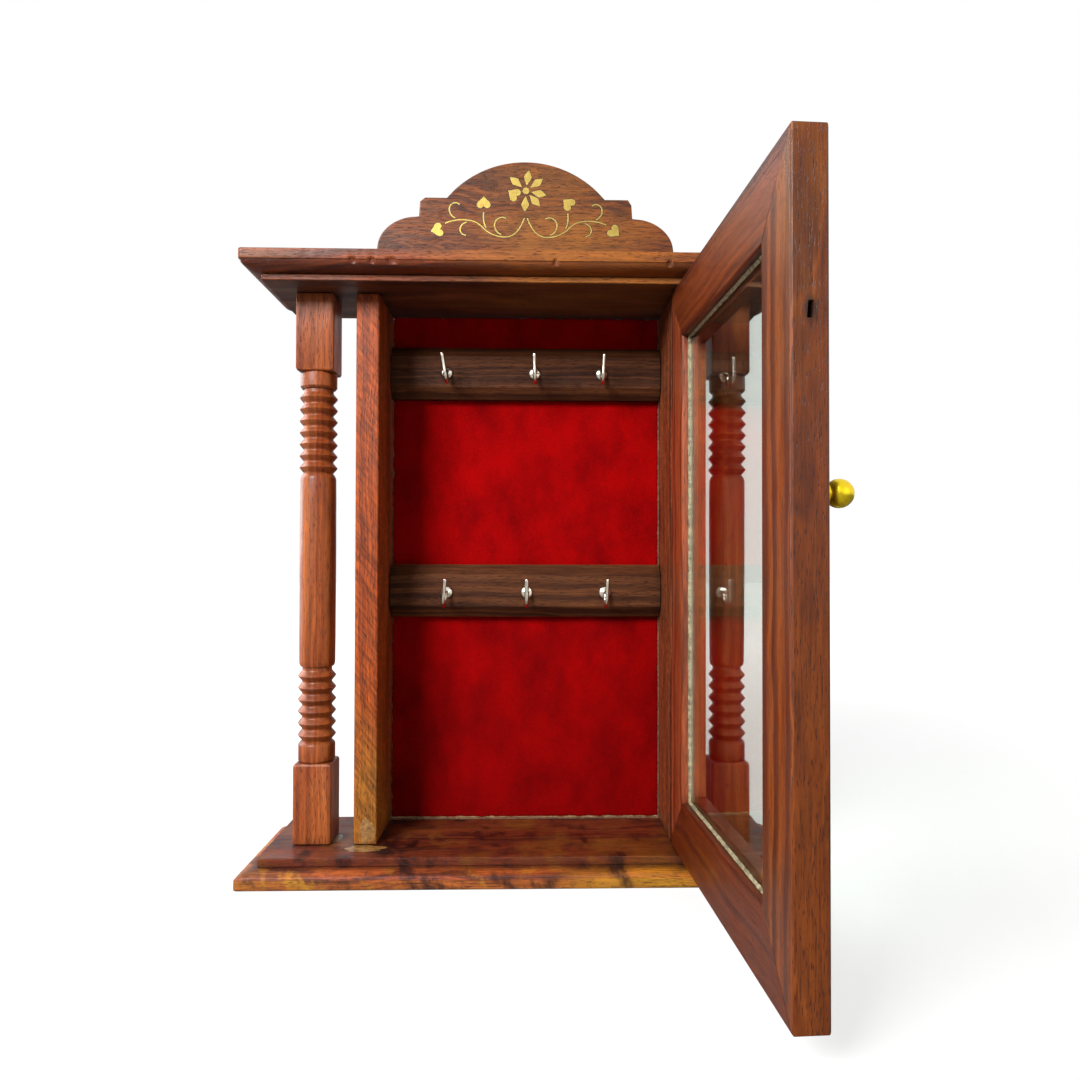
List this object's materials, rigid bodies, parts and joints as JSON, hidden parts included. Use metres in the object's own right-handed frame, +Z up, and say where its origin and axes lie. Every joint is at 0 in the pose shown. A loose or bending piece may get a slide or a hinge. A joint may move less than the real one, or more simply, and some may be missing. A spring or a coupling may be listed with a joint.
{
  "type": "key cabinet",
  "caption": "Wooden key cabinet with a moulded base and cornice, turned pillars, an inlaid crest, hook rails on a velvet back and a glazed door that swings on pivot nails.",
  "frame": {"origin": "centre of the underside of the base board", "axes": "+Z up, -Y the side the door is on, +X towards the side the door turns on"},
  "size_m": [0.229, 0.1834, 0.2968],
  "materials": {
    "base_wood": "oiled and polished sheesham with a golden sapwood edge",
    "cornice_wood": "oiled and polished sheesham",
    "panel_wood": "polished sheesham, saw marks on the front edges",
    "pillar_wood": "turned and polished sheesham",
    "crest_wood": "polished sheesham with dark streaks",
    "rail_wood": "polished dark rosewood",
    "door_wood": "polished sheesham",
    "plywood": "unfinished plywood",
    "dowel_beech": "unfinished beech",
    "velvet": "deep red pile",
    "inlay_brass": "sanded flush, satin",
    "knob_brass": "turned and polished",
    "hanger_brass": "stamped sheet",
    "hook_nickel": "nickel plated wire",
    "fixing_steel": "drawn wire, bright",
    "glass": "clear float glass, 2 mm",
    "putty": "pale glazing compound, smoothed by hand"
  },
  "bodies": {
    "cabinet": {"back_panel": "plywood", "base_board": "base_wood", "base_screw_left": "fixing_steel", "base_screw_right": "fixing_steel", "cornice_board": "cornice_wood", "cornice_screw_left": "fixing_steel", "cornice_screw_right": "fixing_steel", "crest_board": "crest_wood", "crest_dowel_left": "dowel_beech", "crest_dowel_right": "dowel_beech", "cup_hook_lower_1": "hook_nickel", "cup_hook_lower_2": "hook_nickel", "cup_hook_lower_3": "hook_nickel", "cup_hook_upper_1": "hook_nickel", "cup_hook_upper_2": "hook_nickel", "cup_hook_upper_3": "hook_nickel", "hanger_left": "hanger_brass", "hanger_right": "hanger_brass", "hanger_screw_left": "fixing_steel", "hanger_screw_right": "fixing_steel", "hook_rail_lower": "rail_wood", "hook_rail_upper": "rail_wood", "inlay_curl_end_left": "inlay_brass", "inlay_curl_end_right": "inlay_brass", "inlay_curl_low_left": "inlay_brass", "inlay_curl_low_right": "inlay_brass", "inlay_curl_mid_left": "inlay_brass", "inlay_curl_mid_right": "inlay_brass", "inlay_flower_centre": "inlay_brass", "inlay_heart_flower": "inlay_brass", "inlay_heart_inner_left": "inlay_brass", "inlay_heart_inner_right": "inlay_brass", "inlay_heart_outer_left": "inlay_brass", "inlay_heart_outer_right": "inlay_brass", "inlay_petal_1": "inlay_brass", "inlay_petal_2": "inlay_brass", "inlay_petal_3": "inlay_brass", "inlay_petal_4": "inlay_brass", "inlay_petal_5": "inlay_brass", "inlay_petal_6": "inlay_brass", "inlay_stalk_left": "inlay_brass", "inlay_stalk_right": "inlay_brass", "inlay_vine_left": "inlay_brass", "inlay_vine_right": "inlay_brass", "pillar_left": "pillar_wood", "pillar_right": "pillar_wood", "pivot_nail_bottom": "fixing_steel", "pivot_nail_top": "fixing_steel", "side_panel_left": "panel_wood", "side_panel_right": "panel_wood", "velvet_lining": "velvet"},
    "door": {"door_glass": "glass", "door_knob": "knob_brass", "door_rail_bottom": "door_wood", "door_rail_top": "door_wood", "door_stile_free": "door_wood", "door_stile_pivot": "door_wood", "glazing_putty": "putty", "knob_stud": "fixing_steel"}
  },
  "joints": [
    {"name": "door_pivot", "type": "hinge", "parent": "cabinet", "child": "door", "pos_m": [0.0667, -0.0142, 0.127], "axis": [0, 0, 1], "range_deg": [-93, 82]}
  ]
}
